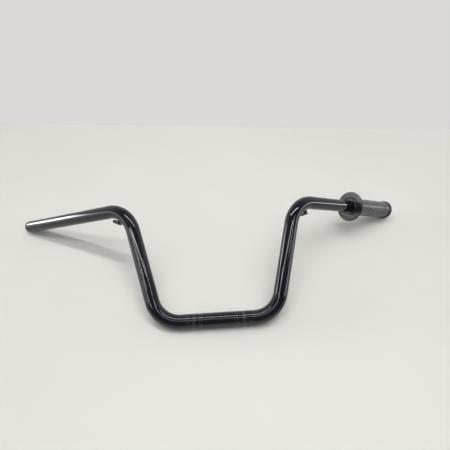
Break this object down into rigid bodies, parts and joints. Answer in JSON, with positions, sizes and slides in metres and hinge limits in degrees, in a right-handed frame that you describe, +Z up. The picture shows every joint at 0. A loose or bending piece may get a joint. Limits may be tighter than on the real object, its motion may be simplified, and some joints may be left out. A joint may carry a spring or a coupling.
{
  "type": "handlebar",
  "caption": "Cruiser motorcycle handlebar: a bent steel tube with raised, swept-back handles, a flanged rubber grip on the clutch side and wiring clips under the bends.",
  "frame": {"origin": "centre of the straight clamp section, on its axis", "axes": "+X along the clamp section to the rider's left, +Y across the floor to the handle ends, +Z up from the floor that the bar lies on"},
  "size_m": [0.8387, 0.2972, 0.1319],
  "materials": {
    "black_paint": "gloss black, lightly scuffed where clamps sat",
    "grip_rubber": "dusty ribbed rubber",
    "clip_plastic": "satin black plastic"
  },
  "bodies": {
    "root": {"bar_tube": "black_paint", "left_grip": "grip_rubber", "left_wire_clip": "clip_plastic", "right_wire_clip": "clip_plastic"}
  },
  "joints": []
}
